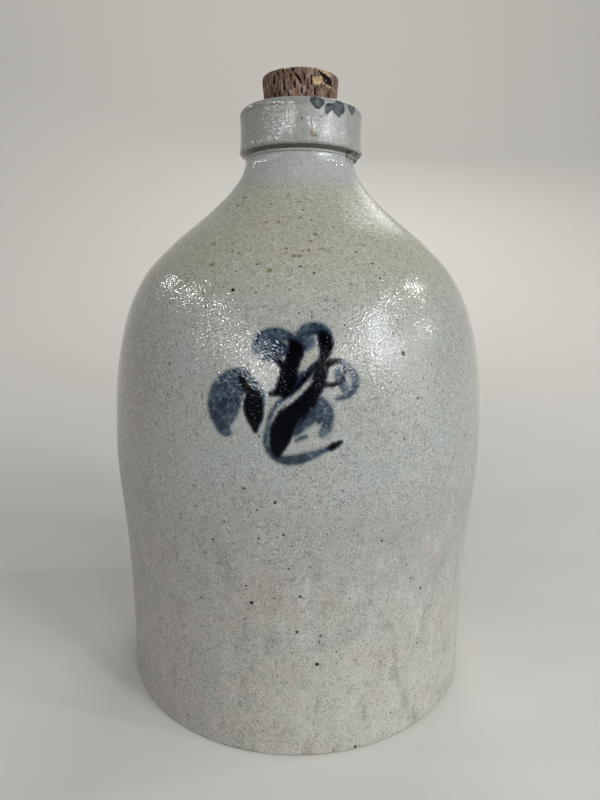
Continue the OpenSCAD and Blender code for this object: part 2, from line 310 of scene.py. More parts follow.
# Clefts, and bare tan places with a pale line along the top edge that is a painted highlight, on its front,
# as strokes: across, depth below the top, half width
CORK_CLEFTS = [
    [(-16.2, 4, 0.8), (-16.8, 6.8, 0.9)], [(-10, 5.6, 0.5), (-9.9, 11.2, 0.6)],
    [(-4.2, 0.4, 0.9), (-4.5, 2.4, 0.5)], [(-10.4, 0.8, 0.45), (-10.2, 3.4, 0.45)],
    [(-13.4, 1, 0.4), (-13.4, 4.2, 0.4)], [(-2.6, 4, 0.5), (-0.6, 6.6, 0.8)],
    [(-3.6, 7.2, 0.4), (-3.3, 10.2, 0.55)], [(-16.9, 12, 0.6), (-16.5, 15, 0.9)],
    [(-13, 10.6, 0.3), (-13, 14, 0.45)], [(-21.8, 5, 0.4), (-21.6, 8.4, 0.4)],
    [(-7.3, 11.4, 0.35), (-7.2, 14.4, 0.4)], [(-5.8, 3.8, 0.35), (-5.6, 6.8, 0.35)],
    [(1.9, 3.4, 0.4), (2.1, 6.4, 0.5)], [(-0.4, 6.6, 0.7), (0.2, 8, 0.5)],
    [(4.2, 8.4, 0.5), (4.4, 11, 0.5)], [(6.2, 4.4, 0.4), (6.3, 8.2, 0.5)],
    [(0.8, 11, 0.4), (0.8, 13.4, 0.4)], [(8.6, 10.6, 0.5), (8.8, 13, 0.6)],
    [(18.8, 11.4, 0.7), (19, 13.2, 0.6)], [(3.6, 13.4, 0.4), (3.4, 16, 0.4)],
    [(-19.2, 9, 0.35), (-19, 12, 0.35)], [(13.4, 4.8, 0.3), (16.5, 6.2, 0.4), (20.3, 6.8, 0.5)],
    [(11, 1.6, 0.5), (13.6, 3, 1), (17.2, 4.3, 1.3), (20.4, 5.6, 1), (21.6, 7, 0.5)],
]
CORK_TANS_AND_EDGE_HIGHLIGHT = [
    [(7.8, 5.6, 1), (9.4, 6.6, 1.9), (12, 5.4, 1.5)], [(7.8, 7.6, 0.8), (11.8, 6.8, 0.9)],
    # Along the top edge: pale tan as a painted highlight
    [(10, 0.5, 0.4), (13, 0.8, 0.9), (16.2, 1.3, 1.3), (19.4, 1.9, 0.9)], [(-9, 0.4, 0.4), (-6, 0.2, 0.5)],
    [(13.8, 7.2, 0.2), (17.6, 7.8, 0.3), (21.5, 7.8, 0.3), (27, 7.9, 0.2)],
]
CORK_CLEFT_DEPTH = 1.2
CORK_TEAR_DEPTH = 0.5
CORK_CRUMBLE = 0.9
CORK_RAGGED = 1.6
CORK_TORN_FROM = 14.0
CORK_EDGE_SOFTNESS = 0.25
CORK_TIP_STEP = 2.5
CORK_GLOSS = 0.15


def srgb(red, green, blue):
    """A colour given as it is seen, 0 to 255, in the linear values that a shader takes."""
    shares = (red / 255, green / 255, blue / 255)
    return tuple(c / 12.92 if c <= 0.04045 else ((c + 0.055) / 1.055) ** 2.4 for c in shares) + (1.0,)


def grey(value):
    return (value, value, value, 1.0)


class Graph:
    """A material's nodes. A value is a number, a colour, or another node's output."""

    def __init__(self, material_name):
        self.material = bpy.data.materials.new(material_name)
        self.material.use_nodes = True
        self.tree = self.material.node_tree
        self.shader = self.tree.nodes["Principled BSDF"]

    def put(self, value, socket):
        if isinstance(value, bpy.types.NodeSocket):
            self.tree.links.new(value, socket)
        else:
            socket.default_value = value

    def node(self, kind, inputs, **settings):
        made = self.tree.nodes.new("ShaderNode" + kind)
        for setting, value in settings.items():
            setattr(made, setting, value)
        for key, value in inputs.items():
            self.put(value, made.inputs[key])
        return made

    def place(self):
        return self.node("TexCoord", {}).outputs["Object"]

    def axis(self, vector, letter):
        return self.node("SeparateXYZ", {0: vector}).outputs[letter]

    def vectors(self, operation, a, b=(0.0, 0.0, 0.0), output=0):
        return self.node("VectorMath", {0: a, 1: b}, operation=operation).outputs[output]

    def upright(self, vector, share):
        """The vector with its height times a share, which draws a pattern out up and down below 1."""
        return self.vectors("MULTIPLY", vector, (1.0, 1.0, share))

    def math(self, operation, a, b=0.0, c=0.0):
        return self.node("Math", {0: a, 1: b, 2: c}, operation=operation).outputs[0]

    def scaled(self, value, by, plus):
        return self.math("MULTIPLY_ADD", value, by, plus)

    def times(self, first, *others):
        for other in others:
            first = self.math("MULTIPLY", first, other)
        return first

    def band(self, value, start, end, low=0.0, high=1.0):
        """Rises smoothly from low to high as the value goes from start to end."""
        if start > end:
            start, end, low, high = end, start, high, low
        made = self.node("MapRange", {0: value, 1: start, 2: end, 3: low, 4: high})
        made.interpolation_type = "SMOOTHSTEP"
        return made.outputs[0]

    def mix(self, share, a, b):
        """A colour from a to b. Three numbers are a colour as it is seen, 0 to 255."""
        a, b = (srgb(*end) if isinstance(end, tuple) and len(end) == 3 else end for end in (a, b))
        return self.node("Mix", {0: share, 6: a, 7: b}, data_type="RGBA").outputs[2]

    def tinted(self, colour, tints):
        """The colour with tints laid over it in turn, each by the product of its shares."""
        for shade, *shares in tints:
            colour = self.mix(self.times(*shares), colour, shade)
        return colour

    def noise(self, vector, size, detail=2.0, roughness=0.5, distortion=0.0):
        """Soft noise from 0 to 1, with features about one size across, in mm."""
        inputs = {"Vector": vector, "Scale": 1 / (size * MM), "Detail": detail,
                  "Roughness": roughness, "Distortion": distortion}
        return self.node("TexNoise", inputs).outputs["Fac"]

    def cells(self, vector, size, feature="F1"):
        """Voronoi cells about one size across, in mm; the distances are shares of a cell."""
        return self.node("TexVoronoi", {"Vector": vector, "Scale": 1 / (size * MM)}, feature=feature)

    def attribute(self, label):
        return self.node("Attribute", {}, attribute_name=label).outputs["Fac"]

    def bump(self, height, depth, below=None):
        """Raises the surface by depth mm where the height goes from 0 to 1."""
        inputs = {"Height": height, "Distance": depth * MM}
        if below is not None:
            inputs["Normal"] = below
        return self.node("Bump", inputs).outputs[0]

    def finish(self, colour, roughness, normal):
        for key, value in {"Base Color": colour, "Roughness": roughness, "Normal": normal}.items():
            self.put(value, self.shader.inputs[key])
        return self.material


def turned_side(node, outward):
    """Corners [radius, height] of a turned node's outside or inside, upwards, in mm."""
    least_facing = 0.02
    least_turn = 0.002
    sign = 1 if outward else -1
    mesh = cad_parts[node].data
    corners = {}
    for face in mesh.polygons:
        reach = math.hypot(face.center.x, face.center.y)
        facing = (face.normal.x * face.center.x + face.normal.y * face.center.y) / max(reach, TINY)
        if sign * facing > least_facing:
            for index in face.vertices:
                x, y, z = mesh.vertices[index].co / MM
                corners[round(z, 2)] = (math.hypot(x, y), z)
    side = [corners[z] for z in sorted(corners)]
    kept = side[:1]
    for point, after in zip(side[1:-1], side[2:]):
        chord = np.subtract(after, kept[-1])
        arm = np.subtract(point, kept[-1])
        if abs(chord[0] * arm[1] - chord[1] * arm[0]) > least_turn * np.linalg.norm(chord):
            kept.append(point)
    return np.array(kept + side[-1:])


def smooth_line(points, step):
    """A smooth line through the points, as places about one step apart."""
    points = np.asarray(points, float)
    chords = np.diff(points, axis=0)
    lengths = np.linalg.norm(chords, axis=1)
    gaps = np.sqrt(lengths)[:, None]
    ways = chords / gaps
    middle = (ways[:-1] * gaps[1:] + ways[1:] * gaps[:-1]) / (gaps[:-1] + gaps[1:])
    ways_at = np.vstack([ways[:1], middle, ways[-1:]])
    line = []
    for i, length in enumerate(lengths):
        count = max(1, math.ceil(length / step))
        t = (np.arange(count) / count)[:, None]
        line.append(
            (2 * t**3 - 3 * t**2 + 1) * points[i]
            + (t**3 - 2 * t**2 + t) * gaps[i] * ways_at[i]
            + (3 * t**2 - 2 * t**3) * points[i + 1]
            + (t**3 - t**2) * gaps[i] * ways_at[i + 1]
        )
    return np.vstack(line + [points[-1:]])


def along(line):
    """Length along the line at each of its places."""
    return np.append(0, np.cumsum(np.linalg.norm(np.diff(line, axis=0), axis=1)))


def softened(line, reach):
    """A fine line with its corners eased over a reach in mm."""
    half = math.ceil(3 * reach / FINE_STEP)
    weights = np.exp(-0.5 * (np.arange(-half, half + 1) * FINE_STEP / reach) ** 2)
    weights /= weights.sum()
    padded = [np.pad(column, half, mode="edge") for column in line.T]
    return np.stack([np.convolve(column, weights, mode="valid") for column in padded], axis=1)


def fine_line(corners):
    """A smooth line through the corners, as places exactly one fine step apart, with its true end."""
    line = smooth_line(corners, FINE_STEP)
    lengths = along(line)
    stops = np.append(np.arange(0, lengths[-1], FINE_STEP), lengths[-1])
    return np.stack([np.interp(stops, lengths, column) for column in line.T], axis=1)


def facing(line):
    """Which way a turned surface faces at each place of its line [radius, height]."""
    ways = np.gradient(line, axis=0)
    ways /= np.maximum(np.linalg.norm(ways, axis=1), TINY)[:, None]
    return np.stack([ways[:, 1], -ways[:, 0]], axis=1)


def step_at(value, steps):
    return next((step for limit, step in steps if value < limit), steps[-1][1])


def stops_along(line, step_from):
    """Indexes of the places on a fine line that become rows of a mesh, without its two ends."""
    lengths = along(line)
    stops = [0]
    while stops[-1] < len(line) - 1:
        after = np.searchsorted(lengths, lengths[stops[-1]] + step_from(stops[-1]))
        stops.append(min(int(after), len(line) - 1))
    return np.array(stops[1:-1])


def column_azimuths():
    azimuths = [-180.0]
    while azimuths[-1] < 180:
        azimuths.append(azimuths[-1] + step_at(azimuths[-1], COLUMN_STEPS))
    end = 180 - 0.5 * COLUMN_STEPS[-1][1]
    return np.array([azimuth for azimuth in azimuths if azimuth < end])


def off_segment(across, rise, start, end):
    """How far each place lies from a straight piece of line, and how far along it, from 0 to 1."""
    run_x, run_z = end[0] - start[0], end[1] - start[1]
    run = max(run_x**2 + run_z**2, TINY)
    t = np.clip(((across - start[0]) * run_x + (rise - start[1]) * run_z) / run, 0, 1)
    return np.hypot(across - start[0] - t * run_x, rise - start[1] - t * run_z), t


def brush_depth(strokes, across, rise):
    """How deep each place lies inside the nearest stroke, in mm; below zero outside."""
    depth = np.full(across.shape, FAR_OUTSIDE)
    for stroke in strokes:
        line = smooth_line(stroke, 1.0)
        for start, end in zip(line[:-1], line[1:]):
            away, t = off_segment(across, rise, start, end)
            depth = np.maximum(depth, start[2] + t * (end[2] - start[2]) - away)
    return depth


def flake_depth(flakes, across, rise):
    """How deep each place lies inside the nearest flake's corners, in mm; below zero outside."""
    depth = np.full(across.shape, FAR_OUTSIDE)
    for corners in flakes:
        nearest = np.full(across.shape, -FAR_OUTSIDE)
        inside = np.zeros(across.shape, bool)
        for start, end in zip(corners, corners[1:] + corners[:1]):
            nearest = np.minimum(nearest, off_segment(across, rise, start, end)[0])
            if start[1] != end[1]:
                edge = start[0] + (rise - start[1]) * (end[0] - start[0]) / (end[1] - start[1])
                inside ^= ((start[1] > rise) != (end[1] > rise)) & (across < edge)
        depth = np.maximum(depth, np.where(inside, nearest, -nearest))
    return depth


def spot_weight(spots, across, rise):
    """1 in the middle of a spot, fading to 0 about twice its radius away."""
    weight = np.zeros(across.shape)
    for x, z, r in spots:
        weight = np.maximum(weight, np.exp(-((across - x) ** 2 + (rise - z) ** 2) / r**2))
    return weight


def wander(points, size, seed):
    """Soft noise from about -1 to 1 at each point, with features about one size across, in mm."""
    shift = Vector((seed * 17.3, seed * 5.1, seed * 9.7))
    values = [noise.noise(Vector(point) / size + shift) for point in points.reshape(-1, 3)]
    return np.array(values).reshape(points.shape[:-1])


def turned_places(radii, heights, azimuths):
    """Places, or directions, at each radius and height, all round."""
    turn = np.radians(azimuths)
    return np.stack([np.outer(radii, np.sin(turn)), np.outer(radii, -np.cos(turn)),
                     np.outer(heights, np.ones(len(turn)))], axis=2)


def ring_faces(rows, columns):
    """Faces between rings of places, each with as many columns."""
    low = np.arange(rows - 1)[:, None] * columns + np.arange(columns)
    beside = np.roll(low, -1, axis=1)
    return np.stack([low, beside, beside + columns, low + columns], axis=2).reshape(-1, 4).tolist()


def add_object(name, data):
    made = bpy.data.objects.new(name, data)
    bpy.context.scene.collection.objects.link(made)
    return made


def add_mesh(name, places, faces):
    """A smooth piece with its places in metres."""
    mesh = bpy.data.meshes.new(name)
    mesh.from_pydata(places.reshape(-1, 3).tolist(), [], faces)
    mesh.validate()
    mesh.shade_smooth()
    return add_object(name, mesh)


def closed_mesh(name, rings, start, end):
    """A closed mesh from rings of places in mm, drawn together at a start and an end point."""
    rows, columns = rings.shape[:2]
    first, last, top = rows * columns, rows * columns + 1, (rows - 1) * columns
    faces = ring_faces(rows, columns)
    for i in range(columns):
        j = (i + 1) % columns
        faces += [[first, j, i], [last, top + i, top + j]]
    return add_mesh(name, np.vstack([rings.reshape(-1, 3), [start], [end]]) * MM, faces)


def store(piece, label, values, at_ends=0.0):
    """Keeps one number for each place of a closed mesh, for its material to read."""
    made = piece.data.attributes.new(label, "FLOAT", "POINT")
    made.data.foreach_set("value", np.append(values.ravel(), [at_ends, at_ends]).astype(np.float32))


def store_depth(piece, label, depth):
    """The same for how deep each place lies inside a stroke or flake."""
    store(piece, label, np.clip(depth, -KEPT_DEPTH, KEPT_DEPTH), -KEPT_DEPTH)


class Outline:
    """The jug's turned outline, measured on the frame's own node and softened as a glaze does."""

    def __init__(self, node):
        inner = turned_side(node, False)[::-1]
        outside = fine_line(np.vstack([[[0, 0]], turned_side(node, True)]))
        inside = fine_line(np.vstack([inner, [[0, inner[-1, 1]]]]))
        self.line = softened(np.vstack([outside, inside[1:]]), GLAZE_SOFTNESS)
        self.crest = len(outside) - 1
        self.normals = facing(self.line)

    def radius(self, height):
        """Radius of the outside at a height below the collar."""
        side = self.line[: self.crest]
        return np.interp(height, side[:, 1], side[:, 0])

    def row_step(self, index):
        """How far the row after this place of the line lies from it."""
        radius, height = self.line[index]
        if height < BASE_TOP and radius < BASE_SHARE * self.line[:, 0].max():
            return BASE_ROW_STEP
        return step_at(height, INNER_ROW_STEPS if index >= self.crest else OUTER_ROW_STEPS)

    def surface_heights(self, stops):
        """Height of each row, which past the collar's side goes on growing along the rounded rim."""
        lengths = along(self.line)
        start = np.argmin(np.abs(self.line[: self.crest, 1] - COLLAR_SIDE))
        over_rim = COLLAR_SIDE + lengths[stops] - lengths[start]
        return np.where(stops > start, over_rim, self.line[stops, 1])


def thrown_unevenness(places, heights):
    """How far the thrown wall strays outwards from its outline, in mm."""
    wall = np.clip((heights - WANDER_FROM) / WANDER_FADE, 0, 1)[:, None]
    slow = WANDER_DEPTH * wander(places, WANDER_SIZE, 1)
    rings = RING_DEPTH * wander(places * RING_STRETCH, RING_PITCH, 2)
    depth, height, reach = COLLAR_FLARE
    flare = depth * np.exp(-(((heights - height) / reach) ** 2)) * (heights > COLLAR_FOOT + 1)
    return wall * (slow + rings) + flare[:, None]


def drip_thickness(azimuths, radii, heights):
    """Thickness of the blobs of glaze under the collar, in mm."""
    total = np.zeros((len(radii), len(azimuths)))
    for azimuth, height, half_width, half_height, thickness in DRIPS:
        beside = np.radians(azimuths - azimuth) * radii[:, None] / half_width
        above = (heights[:, None] - height) / half_height
        total = np.maximum(total, thickness * np.maximum(0, 1 - beside**2 - above**2) ** DRIP_FULLNESS)
    return total


def rim_wear(outline, stops, azimuths, places):
    """How deep each place lies inside a chip on the rim, and inside a cleft under the collar, in mm."""
    chip, cleft = np.full((2, *places.shape[:2]), -KEPT_DEPTH)
    near = outline.line[stops, 1] > COLLAR_FOOT - WEAR_BELOW
    around = np.broadcast_to(COLLAR_RADIUS * np.radians(azimuths), chip[near].shape)
    over_rim = np.broadcast_to(outline.surface_heights(stops)[near, None], around.shape)
    ragged = CHIP_RAGGEDNESS * wander(places[near], CHIP_GRAIN, 3)
    chip[near] = flake_depth(CHIPS, around, over_rim) + ragged
    cleft[near] = brush_depth(CLEFTS, around, places[near][:, :, 2])
    return chip, np.where((stops <= outline.crest)[:, None], cleft, -KEPT_DEPTH)


def store_flower(shell, across, rise, front):
    """Keeps how deep the front lies inside the flower's strokes, and how full the brush was there."""
    bare = brush_depth(BARES, across[front], rise[front])
    for name, strokes in (("wash", WASHES), ("dark", DARKS)):
        depth = np.full(across.shape, -KEPT_DEPTH)
        depth[front] = np.minimum(brush_depth(strokes, across[front], rise[front]), -bare)
        store_depth(shell, name, depth)
    load = spot_weight(RICH_SPOTS, across, rise) - spot_weight(THIN_SPOTS, across, rise)
    store(shell, "load", load * front)


def jug_shell(outline):
    """The thrown body: one closed mesh of its outside, mouth and hollow."""
    stops = stops_along(outline.line, outline.row_step)
    (radii, heights), (face_out, face_up) = outline.line[stops].T, outline.normals[stops].T
    azimuths = column_azimuths()
    outside = (stops <= outline.crest)[:, None]
    places = turned_places(radii, heights, azimuths)
    across = radii[:, None] * np.radians(azimuths)
    rise = np.broadcast_to(heights[:, None], across.shape)

    chip, cleft = rim_wear(outline, stops, azimuths, places)
    drip = drip_thickness(azimuths, radii, heights) * outside
    scoop = np.clip(chip / CHIP_EDGE, 0, 1)
    facets = 1 - FACET_SHARE + 2 * FACET_SHARE * wander(places, FACET_SIZE, 9)
    push = thrown_unevenness(places, heights) * outside + drip
    push -= CHIP_DEPTH * scoop * (2 - scoop) * facets + CLEFT_DEPTH * np.clip(cleft / CLEFT_EDGE, 0, 1)
    places += push[:, :, None] * turned_places(face_out, face_up, azimuths)
    collar = np.clip((radii - COLLAR_SHIFT_FROM) / COLLAR_SHIFT_FADE, 0, 1) * (heights > COLLAR_FOOT)
    places[:, :, 0] += COLLAR_SHIFT * collar[:, None] * outside
    places[:, :, 2] = np.maximum(places[:, :, 2], 0)

    shell = closed_mesh("jug_shell", places, (0, 0, 0), (0, 0, outline.line[-1, 1]))
    low, high = FLOWER_HEIGHTS
    front = (np.abs(azimuths) < FLOWER_SPAN) & outside & (heights > low)[:, None] & (heights < high)[:, None]
    store_flower(shell, across, rise, front)
    store_depth(shell, "chip", chip)
    store_depth(shell, "cleft", cleft)
    store(shell, "drip", drip)
    lengths = along(outline.line)
    past_crest = np.clip(lengths[stops] - lengths[outline.crest], -KEPT_DEPTH, SLIP_FAR)
    store(shell, "slip", np.broadcast_to(past_crest[:, None], across.shape), SLIP_FAR)
    return shell


def near_end(share, reach=0.3):
    return np.maximum(0, 1 - share / reach) ** 2


def bezier(points, t):
    """Place and direction on a curve of four points, at each t."""
    a, b, c, d = (np.array(point, float) for point in points)
    t = t[:, None]
    place = (1 - t) ** 3 * a + 3 * (1 - t) ** 2 * t * b + 3 * (1 - t) * t**2 * c + t**3 * d
    way = (1 - t) ** 2 * (b - a) + 2 * (1 - t) * t * (c - b) + t**2 * (d - c)
    return place, way / np.linalg.norm(way, axis=1)[:, None]


def strap_section(t):
    """Across and outward places of the strap's rings at each t, with two grooves on the outer face."""
    smooth = 0.16
    root, end = near_end(t), near_end(1 - t)
    width = (STRAP_WIDTH + STRAP_ROOT_SPREAD * root + STRAP_END_SPREAD * end)[:, None]
    thick = (STRAP_THICK + STRAP_ROOT_SWELL * root - STRAP_END_THIN * end)[:, None]
    turn = (2 * math.pi * np.arange(STRAP_SIDES) / STRAP_SIDES)[None, :]
    across = width / 2 * np.sign(np.cos(turn)) * np.abs(np.cos(turn)) ** STRAP_SQUARE
    out = thick / 2 * np.sign(np.sin(turn)) * np.abs(np.sin(turn)) ** STRAP_SQUARE
    depth = (GROOVE_DEPTH * np.minimum(1, t / smooth) * np.minimum(1, (1 - t) / smooth))[:, None]
    beside = (np.abs(across) - GROOVE_PLACE * width / 2) / (GROOVE_WIDTH * width / 2)
    return across, out - np.maximum(0, np.sin(turn)) * depth * np.exp(-(beside**2))


def luting(outline, places, face_x, face_n, fillets):
    """How far the clay smoothed into the corners at the wall swells the strap's rings, in mm."""
    rise = places[:, :, 2]
    slope = (outline.radius(rise + 1) - outline.radius(rise - 1)) / 2
    off_wall = (np.hypot(places[:, :, 0], places[:, :, 1]) - outline.radius(rise)) / np.hypot(1, slope)
    up, beside, under = np.maximum(face_n, 0) ** 2, face_x**2, np.maximum(-face_n, 0) ** 2
    radius = up * fillets[:, :, 0] + beside * fillets[:, :, 1] + under * fillets[:, :, 2]
    gap = np.clip(off_wall, 0, radius)
    return radius - np.sqrt(np.maximum(radius**2 - (radius - gap) ** 2, 0))


def pulled_strap(outline):
    """The strap handle, pulled by hand, with its ends smoothed onto the neck and the shoulder."""
    root = np.array([outline.radius(STRAP_ROOT_HEIGHT) - STRAP_KEY, STRAP_ROOT_HEIGHT])
    end = np.array([outline.radius(STRAP_END_HEIGHT) - STRAP_KEY, STRAP_END_HEIGHT - STRAP_KEY])
    t = 0.5 - 0.5 * np.cos(math.pi * np.linspace(0, 1, STRAP_RINGS))
    centre, way = bezier([root, root + STRAP_ROOT_PULL, end + STRAP_END_PULL, end], t)
    across, out = strap_section(t)

    # Which way each place of a ring faces, across and outward
    run_x, run_n = (np.roll(side, -1, axis=1) - np.roll(side, 1, axis=1) for side in (across, out))
    size = np.maximum(np.hypot(run_x, run_n), TINY)
    face_x, face_n = run_n / size, -run_x / size

    def ring_places():
        return np.stack([across, centre[:, :1] - out * way[:, 1:], centre[:, 1:] + out * way[:, :1]], axis=2)

    lengths = along(centre)
    for share, side, half_length, half_width, depth in THUMB_MARKS:
        away = (lengths - lengths[np.argmin(np.abs(t - share))])[:, None]
        press = depth * np.exp(-((away / half_length) ** 2) - ((across - side) / half_width) ** 2)
        press *= np.clip(face_n + 0.3, 0, 1)
        across, out = across - press * face_x, out - press * face_n
    fillets = np.where((t < 0.5)[:, None, None], ROOT_FILLETS, END_FILLETS)
    places = ring_places()
    swell = luting(outline, places, face_x, face_n, fillets)
    swell += STRAP_WANDER * wander(places, 14, 4) + STRAP_STREAK * wander(places * [1, 0.15, 0.15], 2.2, 5)
    across, out = across + swell * face_x, out + swell * face_n
    return closed_mesh("pulled_strap", ring_places()[:, ::-1], (0, *centre[0]), (0, *centre[-1]))


def cork_rows(side):
    """Rows [radius, height] of the cork, from its tip's middle up and over its top, and how each faces."""
    line = softened(fine_line(np.vstack([[[0, side[0, 1]]], side, [[0, side[-1, 1]]]])), CORK_EDGE_SOFTNESS)
    lengths = along(line)

    def row_step(index):
        under = lengths[index] < side[0, 0]
        return CORK_TIP_STEP if under else step_at(line[index, 1], CORK_ROW_STEPS)

    stops = stops_along(line, row_step)
    return line[stops], facing(line)[stops]


def pit_weights(chance, places, azimuths, radii, on_top, side):
    """Each of the cork's small pits in turn: 1 in its middle, fading to 0 at its edge."""
    wide, top = side[-1]
    for _ in range(CORK_PITS):
        azimuth, below = chance.uniform(-180, 180), chance.uniform(0.3, 36)
        if abs(azimuth) < CORK_MARKED_SPAN and below < CORK_SHOWN:
            below += CORK_SHOWN
        half_width, half_height = chance.uniform(0.2, 0.5), chance.uniform(0.5, 1.9)
        turn = (azimuths - azimuth + 180) % 360 - 180
        beside = np.radians(turn) * radii[:, None] / half_width
        above = (places[:, :, 2] - (top - below)) / half_height
        yield np.exp(-((beside**2 + above**2) ** 2)) * ~on_top
    for _ in range(CORK_TOP_PITS):
        turn, far = chance.uniform(0, 2 * math.pi), wide * math.sqrt(chance.uniform(0, 1))
        spot = np.array([far * math.sin(turn), far * math.cos(turn)])
        away = np.linalg.norm(places[:, :, :2] - spot, axis=2) / chance.uniform(0.3, 0.8)
        yield np.exp(-(away**4)) * on_top


def cork_piece():
    """The tapered cork, with the pits and clefts of its bark, torn tan places and a tan painted highlight
    along its top edge.
    """
    side = turned_side("cork_stopper", True)
    (radii, heights), (face_out, face_up) = (rows.T for rows in cork_rows(side))
    azimuths = np.arange(CORK_COLUMNS) * 360 / CORK_COLUMNS - 180
    places = turned_places(radii, heights, azimuths)
    tip, top = side[0, 1], side[-1, 1]
    on_top = ((face_out < 0.5) & (heights > top - 1))[:, None]
    shown = np.clip((heights - RIM + 1) / 3, 0, 1)[:, None]
    outer = (radii > CORK_TORN_FROM)[:, None]
    across = np.broadcast_to(CORK_ARC * np.radians(azimuths), places.shape[:2])
    below = top - places[:, :, 2]

    pit, depth = np.zeros((2, *across.shape))
    chance = np.random.default_rng(CORK_SEED)
    for weight in pit_weights(chance, places, azimuths, radii, on_top, side):
        pit = np.maximum(pit, weight)
        depth = np.maximum(depth, chance.uniform(0.3, 0.9) * weight)
    cleft_edge, torn_edge = 0.5, 0.8
    crumble = wander(places * [1, 1, 0.6], 0.9, 6)
    cleft = brush_depth(CORK_CLEFTS, across, below) + 0.55 * wander(places * [1, 1, 0.5], 0.7, 10)
    cleft = np.clip(cleft / cleft_edge + 0.5, 0, 1) * ~on_top
    torn = brush_depth(CORK_TANS_AND_EDGE_HIGHLIGHT, across, below) + 0.5 * crumble
    torn = np.clip(torn / torn_edge + 0.5, 0, 1) * outer
    depth = np.maximum(depth, CORK_CLEFT_DEPTH * cleft)
    depth = np.maximum(depth, CORK_TEAR_DEPTH * torn * (1 + 0.8 * crumble))
    depth += CORK_ROUGHNESS * shown * np.maximum(0, 0.1 - wander(places * [1, 1, 0.45], 1.0, 7))
    depth += CORK_DENTS * shown * np.maximum(0, -wander(places, 5, 8))
    depth += CORK_CRUMBLE * np.clip(1 - below / CORK_RAGGED, 0, 1) * outer * np.maximum(0, crumble + 0.1)

    places -= depth[:, :, None] * turned_places(face_out, face_up, azimuths)
    places[:, :, 2] = np.clip(places[:, :, 2], tip, top)
    cork = closed_mesh("cork", places, (0, 0, tip), (0, 0, top))
    store(cork, "pit", np.maximum(pit, cleft))
    store(cork, "torn", torn)
    return cork


def cork_bark():
    """Old brown cork: streaks that run up and down, dark pits, and pale tan where it is torn and as a painted
    highlight along the top edge.
    """
    graph = Graph("cork_bark")
    band = graph.band
    place = graph.place()
    upright = graph.upright(place, 0.33)
    grain = graph.noise(upright, 0.9, detail=3, roughness=0.65)
    streak = graph.noise(upright, 2.0, roughness=0.6)
    blotch = graph.noise(place, 5, roughness=0.6)
    crumbs = graph.noise(graph.upright(place, 0.5), 0.7, roughness=0.7)
    hollows = band(crumbs, 0.63, 0.7)
    tan = graph.mix(band(grain, 0.35, 0.6), (150, 120, 86), (212, 188, 150))
    torn = graph.math("ADD", graph.attribute("torn"), band(grain, 0.3, 0.7, -0.2, 0.2))
    pit = graph.scaled(band(grain, 0.3, 0.7, -0.5, 0.5), 0.3, graph.attribute("pit"))
    bark = graph.mix(band(grain, 0.36, 0.64), (88, 67, 58), (136, 112, 98))
    colour = graph.tinted(bark, [
        ((168, 145, 128), band(streak, 0.53, 0.66, 0.0, 0.8)),
        ((74, 52, 43), band(streak, 0.46, 0.32, 0.0, 0.6)),
        ((152, 118, 84), band(blotch, 0.54, 0.68, 0.0, 0.4)),
        # Pale tan where torn, and a painted highlight along the top edge
        (tan, band(torn, 0.3, 0.7)),
        ((42, 29, 23), hollows, 0.6),
        ((20, 12, 9), band(pit, 0.3, 0.7)),
    ])
    height = graph.scaled(hollows, -0.6, grain)
    graph.put(CORK_GLOSS, graph.shader.inputs["Specular IOR Level"])
    return graph.finish(colour, band(blotch, 0.3, 0.7, 0.7, 0.9), graph.bump(height, 0.6))


def glaze_ground(graph, place, height):
    """The fired clay's colour under the salt glaze, which changes with height and side, with painted shade at
    the left and painted light and shade at the foot.
    """
    band = graph.band
    side = graph.axis(place, "X")
    cloud = graph.noise(place, 40, detail=3, roughness=0.6)
    patch = graph.noise(place, 26, detail=3, distortion=0.5)
    worn = graph.noise(graph.upright(place, 0.45), 9, detail=4, roughness=0.65)
    low_wall = band(height, 0.18, 0.08)
    pale_side = band(side, -0.07, 0.05, 0.35, 1.0)
    # The foot's cream, painted lighter at the right and darker at the left as painted light and shade
    foot = graph.mix(band(side, -0.06, 0.02), (174, 165, 156), (216, 210, 192))
    ground = graph.mix(band(cloud, 0.36, 0.64), (172, 169, 161), (169, 173, 168))
    return graph.tinted(ground, [
        # Olive on the shoulder, then the neck, the collar and the foot, which is cream with painted light at
        # the right and painted shade at the left
        ((174, 170, 150), band(height, 0.216, 0.262), band(height, 0.303, 0.286), 0.9),
        ((170, 171, 172), band(height, 0.292, 0.304), 0.8),
        ((155, 154, 148), band(height, 0.3165, 0.3175), 0.8),
        (foot, band(height, 0.13, 0.03), 0.6),
        # Warmer and darker at the left, partly its own tone and partly painted shade; pinkish and stained low
        # down
        ((160, 149, 142), band(side, -0.04, -0.11), band(height, 0.29, 0.2), 0.75),
        ((180, 167, 160), band(height, 0.18, 0.1), band(patch, 0.36, 0.64), 0.38),
        ((158, 160, 154), band(height, 0.2, 0.1), band(patch, 0.52, 0.32), 0.5),
        # Pale worn places, and smudges
        ((212, 210, 204), band(worn, 0.52, 0.68, 0.0, 0.55), low_wall, pale_side),
        ((144, 138, 130), band(worn, 0.46, 0.32, 0.0, 0.55), low_wall),
    ])


def iron_specks(graph, place, size, share, radius):
    """Dark where a small iron speck has burnt through, in about that share of cells of one size."""
    ripple = graph.node("TexNoise", {"Vector": place, "Scale": 1 / (SPECK_RIPPLE * MM), "Detail": 1.0})
    shift = graph.vectors("MULTIPLY", ripple.outputs["Color"], (SPECK_SHAKE * MM,) * 3)
    shaken = graph.vectors("ADD", place, shift)
    cells = graph.cells(shaken, size)
    chosen = graph.math("LESS_THAN", graph.axis(cells.outputs["Color"], "X"), share)
    spread = graph.axis(cells.outputs["Color"], "Y")
    reach = graph.scaled(spread, radius / size * 0.9, radius / size * 0.35)
    inside = graph.math("SUBTRACT", reach, cells.outputs["Distance"])
    return graph.times(chosen, graph.band(inside, -SPECK_EDGE / size, SPECK_EDGE / size))


